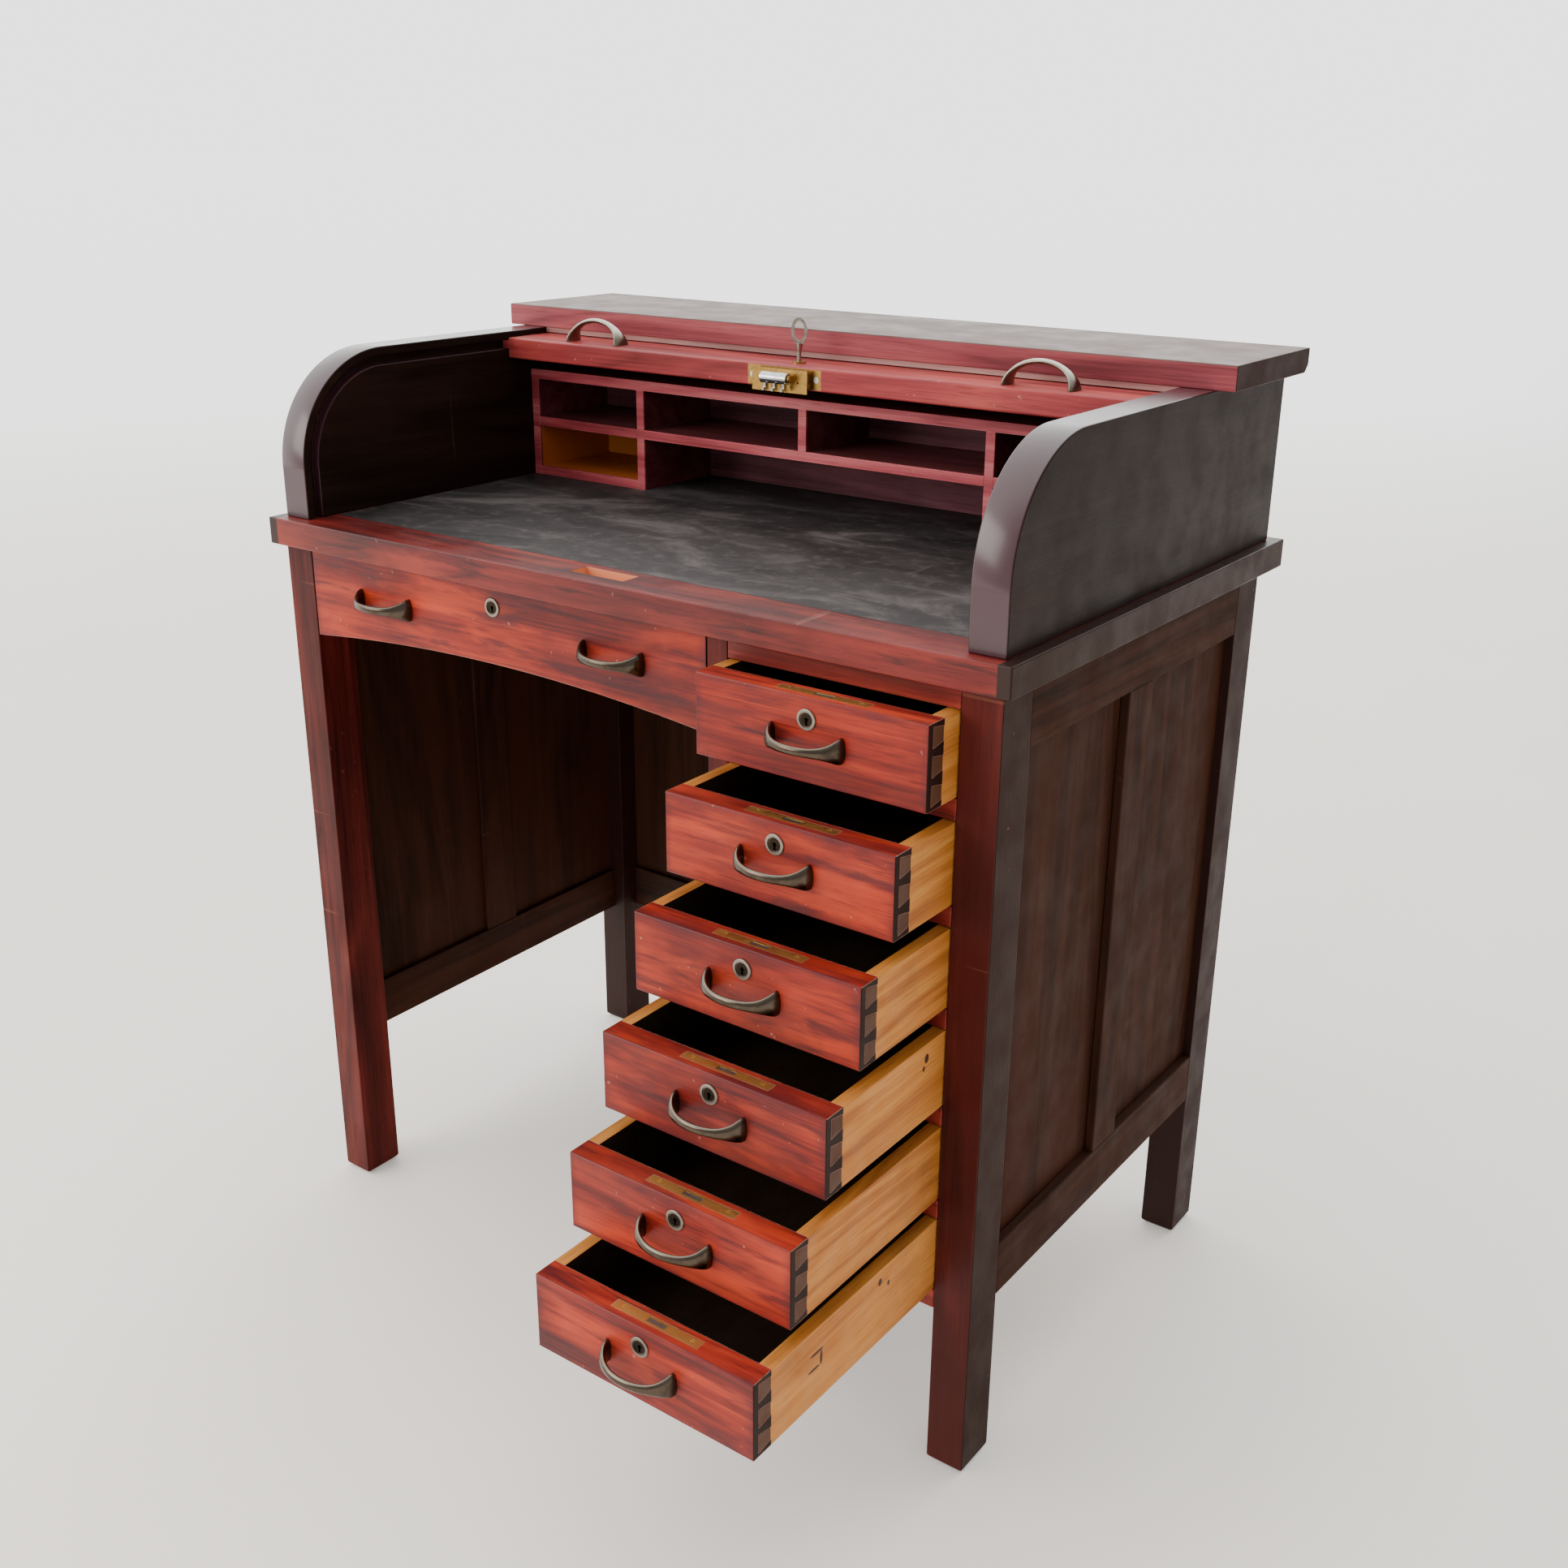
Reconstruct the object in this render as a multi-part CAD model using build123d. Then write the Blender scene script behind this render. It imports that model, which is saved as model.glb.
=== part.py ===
"""Roll top desk: one pedestal of six drawers, a wide drawer over the kneehole, and a rolling curtain.

Millimetres, +Z up.  The origin is on the floor, under the middle of the desk top.  -Y is the sitter's
side and +X the pedestal's side.  The six pedestal drawers stand part open and the curtain is rolled up.
"""
from build123d import *
import math
import os

# ---------------------------------------------------------------- driving dimensions
DESK_W = 852.0          # desk top, side to side
DESK_D = 540.0          # desk top, front to back
DESK_H = 765.0          # writing height
TOP_T = 27.0            # desk top thickness

LEG_W = 37.0            # outer legs, side to side
LEG_D = 46.0            # all legs, front to back
POST_W = 22.0           # inner legs of the pedestal
SIDE_X = 415.0          # outer face of the legs
FRONT_Y = -259.0        # face of the front legs
BACK_Y = 240.0          # back face of the back legs
FOOT_CHAMFER = 4.0

RAIL_T = 20.0           # thickness of the side and back frames
PANEL_T = 6.0
PANEL_TONGUE = 6.0      # how far a panel enters its frame
PANEL_RECESS = 9.0      # panel face behind the frame's outer face
PANEL_PLAY = 0.2
LOW_RAIL_Z = (169.0, 222.0)
HIGH_RAIL_Z = (683.5, 738.0)
MUNTIN_W = 48.0

DRAWER_W = 224.0
DRAWER_H = 71.6
DRAWER_PITCH = 92.4
DRAWER_TOP_Z = 719.0    # top edge of the highest drawer
DRAWER_FRONT_T = 23.0
DRAWER_DEPTH = 430.0    # whole drawer, front to back
SIDE_T = 12.0
OPEN_BY = (44.0, 85.0, 127.0, 170.0, 214.0, 260.0)   # how far each drawer stands open, from the top down
GAP = 1.0               # round each drawer front
BOTTOM_T = 5.0
BOTTOM_UP = 8.0         # drawer bottom above the lower edge of the sides
TAIL_L = 16.0           # length of a dovetail

WIDE_X = (-377.0, 129.0)
WIDE_Z = (648.0, 736.4)
WIDE_ARCH = 15.0        # rise of the lower edge
WIDE_BOX_Z = (674.0, 732.0)

CHEEK_X = (380.0, 414.0)
CHEEK_Y = (-256.5, 257.0)
CHEEK_TOP = 925.0
CHEEK_R = 110.0
GROOVE_W = 9.0
GROOVE_IN = 9.0         # groove's outer wall inside the cheek's outline
GROOVE_DEEP = 9.0
BACK_RUN_Y = 235.0      # middle of the curtain where it hangs behind the pigeonholes
BACK_BEND_R = 40.0

BOARD_OVER = 6.5        # top board beyond the desk top, each side
BOARD_Y = (92.0, 264.0)
BOARD_T = 22.5

HOLES_Y = (67.0, 182.0) # pigeonholes, front to back
HOLES_TOP = 882.0
HOLES_T = 10.0          # thickness of the pigeonhole boards
HOLES_SHELF_Z = 830.0   # upper face of the shelf
DIVIDER_X = (-226.0, -12.0, 204.0)                   # left face of each upright

RAIL_Y = (33.0, 99.0)   # lead rail, rolled up
RAIL_Z = (896.5, 918.5)
SLAT_PITCH = 16.0
SLAT_GAP = 0.6
SLAT_T = 8.0
CANVAS_T = 0.8
LOCK_X = -5.0           # middle of the curtain lock
TAMBOUR_KEY_Y = 58.0

PLATE_Y = 12.0          # middle of a drawer's lock plate behind its face
PLATE_L = 88.0
PLATE_W = 10.0
PLATE_T = 2.0
LOCK_OFF = 8.0          # lock plate off the drawer's middle
LOCK_CASE_X = 30.0      # half length of the lock case
LOCK_CASE_Y = 8.5       # front of the lock case behind the drawer's face
LOCK_CASE_H = 38.5      # lock case below its plate
KEYHOLE_DOWN = 18.5     # lock barrel below the drawer's top edge
BARREL_R = 6.5
RING_R = 9.0            # keyhole ring
RING_T = 1.4            # ring and barrel stand proud of the face
BARREL_OUT = 0.4
KEYHOLE_R = 1.8
KEYHOLE_SLOT = 1.0      # half width of the keyhole's slot
KEYHOLE_L = 5.0
SCREW_R = 2.3           # lock plate screws
SCREW_X = 35.0          # screws from the middle of the plate
BOLT_X = 9.0            # half width of a drawer's lock bolt
BOLT_Y = 2.3            # half thickness
BOLT_PLAY = 0.2
HANDLE_DOWN = 37.5      # handle feet below the drawer's top edge
HANDLE_HALF = 34.0      # foot centres from the handle's middle
HANDLE_OUT = 23.0       # bow of the handle's middle line
# place along the bow, half thickness and half height of the bar there
HANDLE_SECTIONS = ((0.0, 3.6, 11.0), (0.12, 3.0, 8.6), (0.28, 2.6, 4.6), (0.5, 2.5, 3.7),
                   (0.72, 2.6, 4.6), (0.88, 3.0, 8.6), (1.0, 3.6, 11.0))
WIDE_HANDLE_X = 147.5   # wide drawer's handles from its middle
WIDE_HANDLE_DOWN = 40.0

BOARD_INSET = 2.0       # inner pedestal board inside the faces of its posts
BACK_INSET = 2.0        # back frame inside the back faces of the legs
RUNNER_T = 12.0
RUNNER_W = 14.0
RUNNER_PLAY = 0.4       # under and beside a drawer
GUIDE_H = 16.0
MORTISE = (12.0, 4.0, 9.0)   # room for a drawer's lock bolt: half width, half depth and height

INSET_T = 1.5           # writing surface let into the desk top
INSET_Y = (-220.0, 182.0)
STRIKE_X = (-32.0, 30.0)
STRIKE_Y = (-251.0, -229.0)
STRIKE_DEEP = 14.0      # mortise for the curtain lock

CANVAS_X = 370.0        # half width of the canvas behind the slats
FRONT_SLATS = 6         # slats that move with the lead rail
STORED_SLATS = 10       # slats that hang behind the pigeonholes

RAIL_PLATE_X = 44.0     # half length of the curtain lock's back plate
RAIL_PLATE_Z = (898.0, 917.0)
RAIL_CASE_X = 30.0
RAIL_CASE_DEEP = 36.0
NOSE_OUT = 6.0          # box on the back plate
FACE_X = 33.0           # half length of the face plate
FACE_T = 1.6
COLLAR_R = 7.0
COLLAR_OUT = 1.6        # collar proud of the rail
RAIL_SCREW_X = 38.5     # lock plate screws from the lock's middle
RAIL_SCREW_R = 2.7
RIVET_X = 22.0
RIVET_R = 1.2
RAIL_HANDLE_X = (-270.0, 264.0)
RAIL_HANDLE_Y = 56.0

HOOK_X = 15.5           # half length of the hook bolt's barrel
HOOK_R = 5.5
HOOK_OUT = 14.5         # barrel's axis in front of the lead rail
HOOK_Z = 908.0
EAR_T = 2.0             # ears that carry the barrel's pivots
EAR_R = 3.2
EAR_GAP = 0.4
PIVOT_R = 1.6
PIVOT_PLAY = 0.05
CLAW_T = 2.4
CLAW_L = 12.0

KEY_R = 2.2
KEY_BIT = 6.0
KEY_BOW_Z = 949.5
KEY_BOW = (8.0, 13.0)   # half width and half height of the key's bow
KEY_TURN = 30.0         # the bow stands turned from the rail's line

# ---------------------------------------------------------------- sizes that follow from them
POST_X = (130.0, 130.0 + POST_W)
LEG_FRONT = (FRONT_Y, FRONT_Y + LEG_D)
LEG_BACK = (BACK_Y - LEG_D, BACK_Y)
BETWEEN_Y = (LEG_FRONT[1], LEG_BACK[0])
BACK_FRAME_Y = (BACK_Y - BACK_INSET - RAIL_T, BACK_Y - BACK_INSET)
BOARD_X = (POST_X[0] + BOARD_INSET, POST_X[1] - BOARD_INSET)
DRAWER_X = (POST_X[1] + GAP, POST_X[1] + GAP + DRAWER_W)
DRAWER_MID = sum(DRAWER_X) / 2
BOARD_LOW = DESK_H - TOP_T                               # underside of the desk top
GROOVE_MID = GROOVE_IN + GROOVE_W / 2                    # groove's middle inside the cheek's outline
TONGUE_X = CHEEK_X[0] + GROOVE_DEEP - 1.0
CURTAIN_LOW = CHEEK_TOP - GROOVE_IN - GROOVE_W + 0.2     # inner face of the slats in the top run

PARTS = {}


# ---------------------------------------------------------------- small helpers
def block(x, y, z):
    """A box from its two x, two y and two z values."""
    size = [abs(b - a) for a, b in (x, y, z)]
    mid = [(a + b) / 2 for a, b in (x, y, z)]
    return Pos(*mid) * Box(*size)


def across(radius, y):
    """A cylinder along Y between two y values."""
    return Pos(0, sum(y) / 2, 0) * Rot(90, 0, 0) * Cylinder(radius, y[1] - y[0])


def group(solids):
    """Separate solids kept together as one node."""
    return Compound(children=[s if isinstance(s, Solid) else s.solids()[0] for s in solids])


def add(name, shape):
    PARTS[name] = shape


# ---------------------------------------------------------------- legs and frames
def leg(x, y):
    post = block(x, y, (0.0, BOARD_LOW))
    foot = post.faces().sort_by(Axis.Z)[0]
    return chamfer(foot.edges(), FOOT_CHAMFER)


def outer_x(side):
    """The two x values of an outer leg on the left (-1) or right (+1)."""
    return sorted((side * SIDE_X, side * (SIDE_X - LEG_W)))


def side_frame(side):
    """Rails, muntin and the two panels of one side."""
    outer = side * SIDE_X
    inner = side * (SIDE_X - RAIL_T)
    x = sorted((outer, inner))
    panel_face = side * (SIDE_X - PANEL_RECESS)
    px = sorted((panel_face, side * (SIDE_X - PANEL_RECESS - PANEL_T)))
    mid = sum(BETWEEN_Y) / 2
    muntin_y = (mid - MUNTIN_W / 2, mid + MUNTIN_W / 2)
    frame = [block(x, BETWEEN_Y, HIGH_RAIL_Z), block(x, BETWEEN_Y, LOW_RAIL_Z)]
    frame.append(block(x, muntin_y, (LOW_RAIL_Z[1], HIGH_RAIL_Z[0])))
    panels = []
    slots = []
    for y in ((BETWEEN_Y[0], muntin_y[0]), (muntin_y[1], BETWEEN_Y[1])):
        wide = (y[0] - PANEL_TONGUE, y[1] + PANEL_TONGUE)
        tall = (LOW_RAIL_Z[1] - PANEL_TONGUE, HIGH_RAIL_Z[0] + PANEL_TONGUE)
        panels.append(block(px, wide, tall))
        loose = [(a - PANEL_PLAY, b + PANEL_PLAY) for a, b in (px, wide, tall)]
        slots.append(block(*loose))
    for slot in slots:
        frame = [piece - slot for piece in frame]
    return frame, panels, slots


def back_frame():
    """Rails, muntin and panels between the back legs."""
    y = BACK_FRAME_Y
    py = (y[1] - PANEL_RECESS - PANEL_T, y[1] - PANEL_RECESS)
    left = (-(SIDE_X - LEG_W), POST_X[0])
    right = (POST_X[1], SIDE_X - LEG_W)
    mid = sum(left) / 2
    muntin_x = (mid - MUNTIN_W / 2, mid + MUNTIN_W / 2)
    frame = []
    for x in (left, right):
        frame.append(block(x, y, HIGH_RAIL_Z))
        frame.append(block(x, y, LOW_RAIL_Z))
    frame.append(block(muntin_x, y, (LOW_RAIL_Z[1], HIGH_RAIL_Z[0])))
    panels = []
    slots = []
    for x in ((left[0], muntin_x[0]), (muntin_x[1], left[1]), right):
        wide = (x[0] - PANEL_TONGUE, x[1] + PANEL_TONGUE)
        tall = (LOW_RAIL_Z[1] - PANEL_TONGUE, HIGH_RAIL_Z[0] + PANEL_TONGUE)
        panels.append(block(wide, py, tall))
        loose = [(a - PANEL_PLAY, b + PANEL_PLAY) for a, b in (wide, py, tall)]
        slots.append(block(*loose))
    for slot in slots:
        frame = [piece - slot for piece in frame]
    return frame, panels, slots


def carcass():
    legs = [leg(outer_x(s), y) for s in (-1, 1) for y in (LEG_FRONT, LEG_BACK)]
    legs += [leg(POST_X, y) for y in (LEG_FRONT, LEG_BACK)]
    left_frame, left_panels, left_slots = side_frame(-1)
    right_frame, right_panels, right_slots = side_frame(1)
    rear_frame, rear_panels, rear_slots = back_frame()
    for slot in left_slots + right_slots + rear_slots:
        legs = [post - slot for post in legs]
    add("legs", group(legs))
    add("left_side_frame", group(left_frame))
    add("right_side_frame", group(right_frame))
    add("back_frame", group(rear_frame))
    add("frame_panels", group(left_panels + right_panels + rear_panels))
    add("pedestal_inner_side", block(BOARD_X, BETWEEN_Y, (LOW_RAIL_Z[0] - BOARD_INSET, BOARD_LOW)))


# ---------------------------------------------------------------- pedestal rails and runners
def drawer_top(i):
    return DRAWER_TOP_Z - DRAWER_PITCH * i


def bolt_mortise(x, y, z):
    """Room in a rail for a drawer's lock bolt."""
    half_x, half_y, height = MORTISE
    return block((x - half_x, x + half_x), (y - half_y, y + half_y), (z - 1.0, z + height))


def rails_and_runners():
    rail_x = (POST_X[1], SIDE_X - LEG_W)
    rails = []
    plate_y = FRONT_Y + PLATE_Y
    for i in range(7):
        low = drawer_top(i) + GAP
        high = BOARD_LOW if i == 0 else drawer_top(i - 1) - DRAWER_H - GAP
        rail = block(rail_x, LEG_FRONT, (low, high))
        if i < 6:
            rail = rail - bolt_mortise(DRAWER_MID + LOCK_OFF, plate_y, low)
        rails.append(rail)
    add("drawer_rails", group(rails))

    runners = []
    inner_face = SIDE_X - RAIL_T
    leg_face = SIDE_X - LEG_W
    for i in range(6):
        top = drawer_top(i) - DRAWER_H - RUNNER_PLAY
        z = (top - RUNNER_T, top)
        runners.append(block((BOARD_X[1], POST_X[1] + RUNNER_W), BETWEEN_Y, z))
        ledge = block((leg_face - RUNNER_W, inner_face), BETWEEN_Y, z)
        guide = block((leg_face + RUNNER_PLAY, inner_face), BETWEEN_Y, (top, top + GUIDE_H))
        runners.append(ledge + guide)
    top = WIDE_BOX_Z[0] - RUNNER_PLAY
    z = (top - RUNNER_T, top)
    ledge = block((-inner_face, -leg_face + RUNNER_W), BETWEEN_Y, z)
    guide = block((-inner_face, -leg_face - RUNNER_PLAY), BETWEEN_Y, (top, top + GUIDE_H))
    runners.append(ledge + guide)
    runners.append(block((POST_X[0] - RUNNER_W, BOARD_X[0]), BETWEEN_Y, z))
    add("drawer_runners", group(runners))


# ---------------------------------------------------------------- drawers, locks and handles
def tail_solids(x, shoulder_y, z0, height, count):
    """Dovetails at the front end of a drawer side, pointing to -Y from its shoulder."""
    step = height / count
    solids = []
    for k in range(count):
        mid = z0 + step * (k + 0.5)
        root = step * 0.24
        tip = step * 0.36
        outline = [(0.0, mid - root), (0.0, mid + root), (-TAIL_L, mid + tip), (-TAIL_L, mid - tip)]
        points = [(x[0], shoulder_y + y, z) for y, z in outline]
        face = make_face(Polyline(*points, close=True))
        solids.append(extrude(face, amount=x[1] - x[0], dir=(1, 0, 0)))
    return solids


def bow_handle():
    """Cast bow handle: half an oval from foot to foot on y = 0, flared at the feet, bowed to -Y."""
    path = EllipticalCenterArc((0, 0), HANDLE_HALF, HANDLE_OUT, start_angle=180, arc_size=180)
    sections = []
    for at, thick, tall in HANDLE_SECTIONS:
        plane = Plane(origin=path @ at, x_dir=(0, 0, 1), z_dir=path % at)
        sections.append(plane * Ellipse(tall, thick))
    return sweep(sections, path=path, multisection=True)


def keyhole(depth):
    """A keyhole cut from in front of the face to the given depth, its round part on the origin."""
    y = (-3.0, depth)
    return across(KEYHOLE_R, y) + block((-KEYHOLE_SLOT, KEYHOLE_SLOT), y, (-KEYHOLE_L, 0.0))


def lock_solids():
    """Plate, case and bore of a drawer lock; the origin is the keyhole on the drawer's face."""
    x = (LOCK_OFF - PLATE_L / 2, LOCK_OFF + PLATE_L / 2)
    case_x = (LOCK_OFF - LOCK_CASE_X, LOCK_OFF + LOCK_CASE_X)
    plate_low = KEYHOLE_DOWN - PLATE_T
    plate = block(x, (PLATE_Y - PLATE_W / 2, PLATE_Y + PLATE_W / 2), (plate_low, KEYHOLE_DOWN))
    case = block(case_x, (LOCK_CASE_Y, DRAWER_FRONT_T), (plate_low - LOCK_CASE_H, plate_low))
    return plate + case, across(BARREL_R, (0.0, LOCK_CASE_Y))


def lock_room():
    """What a drawer front loses to its lock."""
    box, bore = lock_solids()
    return box + bore


def drawer_lock():
    """Body, bolt and keyhole ring of a drawer lock; the origin is the keyhole on the drawer's face."""
    box, bore = lock_solids()
    barrel = across(BARREL_R, (-BARREL_OUT, LOCK_CASE_Y))
    body = box + barrel - keyhole(LOCK_CASE_Y - 2.0)
    bolt_x = (LOCK_OFF - BOLT_X, LOCK_OFF + BOLT_X)
    bolt_y = (PLATE_Y - BOLT_Y, PLATE_Y + BOLT_Y)
    bolt = block(bolt_x, bolt_y, (0.0, KEYHOLE_DOWN - 0.3))
    channel_x = (bolt_x[0] - BOLT_PLAY, bolt_x[1] + BOLT_PLAY)
    channel_y = (bolt_y[0] - BOLT_PLAY, bolt_y[1] + BOLT_PLAY)
    body = body - block(channel_x, channel_y, (-1.0, KEYHOLE_DOWN + 1.0))
    hole = Cone(0.7, SCREW_R + 0.1, PLATE_T, align=(Align.CENTER, Align.CENTER, Align.MAX))
    for x in (LOCK_OFF - SCREW_X, LOCK_OFF + SCREW_X):
        body = body - Pos(x, PLATE_Y, KEYHOLE_DOWN) * hole
    ring = across(RING_R, (-RING_T, 0.0))
    ring = fillet(ring.edges().group_by(Axis.Y)[0], 0.7) - across(BARREL_R, (-3.0, 1.0))
    return body, bolt, ring


def lock_screws():
    """The two countersunk screws of a drawer's lock plate."""
    from_top = (Align.CENTER, Align.CENTER, Align.MAX)
    head = Cone(0.6, SCREW_R, PLATE_T - 0.1, align=from_top) - Box(6.0, 0.7, 0.9)
    shank = Pos(0, 0, -PLATE_T + 0.1) * Cylinder(0.6, 8.0, align=from_top)
    screw = head + shank
    return [Pos(x, PLATE_Y, KEYHOLE_DOWN - 0.05) * screw for x in (LOCK_OFF - SCREW_X, LOCK_OFF + SCREW_X)]


def drawer(width, height, box_z, depth, tail_count, arch=0.0):
    """Front and box of a drawer: x = 0 its middle, y = 0 its face, z = 0 the lower edge of its front."""
    half = width / 2
    front = block((-half, half), (0.0, DRAWER_FRONT_T), (0.0, height))
    face = front.faces().sort_by(Axis.Y)[0]
    front = fillet(face.edges(), 1.2)
    back_y = depth - 4.0
    box_h = box_z[1] - box_z[0]
    bottom_z = (box_z[0] + BOTTOM_UP, box_z[0] + BOTTOM_UP + BOTTOM_T)
    bottom = block((-half + SIDE_T - 5.0, half - SIDE_T + 5.0), (DRAWER_FRONT_T - 5.0, back_y), bottom_z)
    sides = []
    for x in ((-half, -half + SIDE_T), (half - SIDE_T, half)):
        side = block(x, (DRAWER_FRONT_T, depth), box_z)
        for tail in tail_solids(x, DRAWER_FRONT_T, box_z[0], box_h, tail_count):
            side = side + tail
            front = front - tail
        sides.append(side - bottom)
    back = block((-half + SIDE_T, half - SIDE_T), (back_y - 10.0, back_y), (bottom_z[1], box_z[1] - 4.0))
    if arch:
        radius = (half * half + arch * arch) / (2 * arch)
        cutter = Pos(0, DRAWER_FRONT_T / 2, arch - radius) * Rot(90, 0, 0) * Cylinder(radius, 60.0)
        front = front - cutter
    front = front - Pos(0, 0, height - KEYHOLE_DOWN) * lock_room() - bottom
    for screw in lock_screws():
        front = front - Pos(0, 0, height - KEYHOLE_DOWN) * screw
    return front, group([bottom, back] + sides)


def drawer_set(name, width, height, box_z, depth, tail_count, handles, where, arch=0.0):
    """All the nodes of one drawer, put in its place."""
    front, box = drawer(width, height, box_z, depth, tail_count, arch)
    body, bolt, ring = drawer_lock()
    at_lock = Pos(0, 0, height - KEYHOLE_DOWN)
    bows = [Pos(x, 0, z) * bow_handle() for x, z in handles]
    add(name + "_front", where * front)
    add(name + "_box", where * box)
    add(name + "_lock", where * group([at_lock * part for part in [body, ring] + lock_screws()]))
    add(name + "_lock_bolt", where * (at_lock * bolt))
    add(name + "_handle" + ("s" if len(bows) > 1 else ""), where * group(bows))


def drawers():
    for i in range(6):
        where = Pos(DRAWER_MID, FRONT_Y - OPEN_BY[i], drawer_top(i) - DRAWER_H)
        handles = [(0.0, DRAWER_H - HANDLE_DOWN)]
        drawer_set("drawer_%d" % (i + 1), DRAWER_W, DRAWER_H, (0.0, DRAWER_H), DRAWER_DEPTH, 3, handles, where)
    width = WIDE_X[1] - WIDE_X[0]
    height = WIDE_Z[1] - WIDE_Z[0]
    box_z = (WIDE_BOX_Z[0] - WIDE_Z[0], WIDE_BOX_Z[1] - WIDE_Z[0])
    handles = [(-WIDE_HANDLE_X, height - WIDE_HANDLE_DOWN), (WIDE_HANDLE_X, height - WIDE_HANDLE_DOWN)]
    where = Pos(sum(WIDE_X) / 2, FRONT_Y, WIDE_Z[0])
    drawer_set("wide_drawer", width, height, box_z, DRAWER_DEPTH, 2, handles, where, arch=WIDE_ARCH)


# ---------------------------------------------------------------- desk top and what stands on it
def desk_top():
    board = block((-DESK_W / 2, DESK_W / 2), (-DESK_D / 2, DESK_D / 2), (BOARD_LOW, DESK_H))
    board = fillet(board.edges(), 1.5)
    inset = block((-CHEEK_X[0], CHEEK_X[0]), INSET_Y, (DESK_H - INSET_T, DESK_H))
    strike = block(STRIKE_X, STRIKE_Y, (DESK_H - STRIKE_DEEP, DESK_H + 1.0))
    wide_mid = sum(WIDE_X) / 2
    under = bolt_mortise(wide_mid + LOCK_OFF, FRONT_Y + PLATE_Y, BOARD_LOW)
    add("desk_top", board - inset - strike - under)
    add("writing_inset", inset)


def run_region(off, x):
    """The solid under the curtain's path moved outward by off, from x[0] to x[1]."""
    mid = CHEEK_TOP - GROOVE_MID
    low = DESK_H - 1.0
    cos45 = math.sqrt(0.5)
    fy = CHEEK_Y[0] + CHEEK_R
    fz = CHEEK_TOP - CHEEK_R
    by = BACK_RUN_Y - BACK_BEND_R
    bz = mid - BACK_BEND_R
    fr = CHEEK_R - GROOVE_MID + off
    br = BACK_BEND_R + off
    x0 = x[0]
    edges = [Line((x0, fy - fr, low), (x0, fy - fr, fz))]
    edges.append(ThreePointArc((x0, fy - fr, fz), (x0, fy - fr * cos45, fz + fr * cos45), (x0, fy, fz + fr)))
    edges.append(Line((x0, fy, fz + fr), (x0, by, bz + br)))
    edges.append(ThreePointArc((x0, by, bz + br), (x0, by + br * cos45, bz + br * cos45), (x0, by + br, bz)))
    edges.append(Line((x0, by + br, bz), (x0, by + br, low)))
    edges.append(Line((x0, by + br, low), (x0, fy - fr, low)))
    return extrude(make_face(Wire(edges)), amount=x[1] - x[0], dir=(1, 0, 0))


def cheek(side):
    x = sorted((side * CHEEK_X[0], side * CHEEK_X[1]))
    x0 = x[0]
    front, back = CHEEK_Y
    r = CHEEK_R
    turn = r * (1.0 - math.sqrt(0.5))
    arc_z = CHEEK_TOP - r
    edges = [Line((x0, front, DESK_H), (x0, front, arc_z))]
    edges.append(ThreePointArc((x0, front, arc_z), (x0, front + turn, CHEEK_TOP - turn), (x0, front + r, CHEEK_TOP)))
    edges.append(Line((x0, front + r, CHEEK_TOP), (x0, back, CHEEK_TOP)))
    edges.append(Line((x0, back, CHEEK_TOP), (x0, back, DESK_H)))
    edges.append(Line((x0, back, DESK_H), (x0, front, DESK_H)))
    board = extrude(make_face(Wire(edges)), amount=x[1] - x[0], dir=(1, 0, 0))
    groove_x = sorted((side * (CHEEK_X[0] - 1.0), side * (CHEEK_X[0] + GROOVE_DEEP)))
    groove = run_region(GROOVE_W / 2, groove_x) - run_region(-GROOVE_W / 2, groove_x)
    return board - groove


def superstructure():
    add("left_cheek", cheek(-1))
    add("right_cheek", cheek(1))
    wide = DESK_W / 2 + BOARD_OVER
    board = block((-wide, wide), BOARD_Y, (CHEEK_TOP, CHEEK_TOP + BOARD_T))
    low_back = board.edges().filter_by(Axis.X).group_by(Axis.Z)[0].sort_by(Axis.Y)[-1]
    board = chamfer(low_back, 7.0)
    add("top_board", board)
    inner = (-CHEEK_X[0], CHEEK_X[0])
    add("top_front_strip", block(inner, (BOARD_Y[0] + 2.0, BOARD_Y[0] + 11.0), (CHEEK_TOP - 5.4, CHEEK_TOP)))
    add("superstructure_back", block(inner, (CHEEK_Y[1] - 12.0, CHEEK_Y[1] - 4.0), (DESK_H, CHEEK_TOP)))


def pigeonholes():
    t = HOLES_T
    left, mid, right = DIVIDER_X
    edge = CHEEK_X[0]
    low = HOLES_TOP - t
    shelf = (HOLES_SHELF_Z - t, HOLES_SHELF_Z)
    bays = ((-edge + t, left), (left + t, right), (right + t, edge - t))
    boards = [block((-edge, edge), HOLES_Y, (low, HOLES_TOP))]
    boards.append(block((-edge, -edge + t), HOLES_Y, (DESK_H, low)))
    boards.append(block((edge - t, edge), HOLES_Y, (DESK_H, low)))
    boards.append(block(bays[0], HOLES_Y, (DESK_H, DESK_H + t)))
    boards.append(block(bays[2], HOLES_Y, (DESK_H, DESK_H + t)))
    boards += [block(bay, HOLES_Y, shelf) for bay in bays]
    boards += [block((x, x + t), HOLES_Y, (DESK_H, low)) for x in (left, right)]
    boards.append(block((mid, mid + t), HOLES_Y, (HOLES_SHELF_Z, low)))
    add("pigeonhole_case", group(boards))
    add("pigeonhole_back", block((-edge, edge), (HOLES_Y[1], HOLES_Y[1] + PANEL_T), (DESK_H, HOLES_TOP)))


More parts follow.
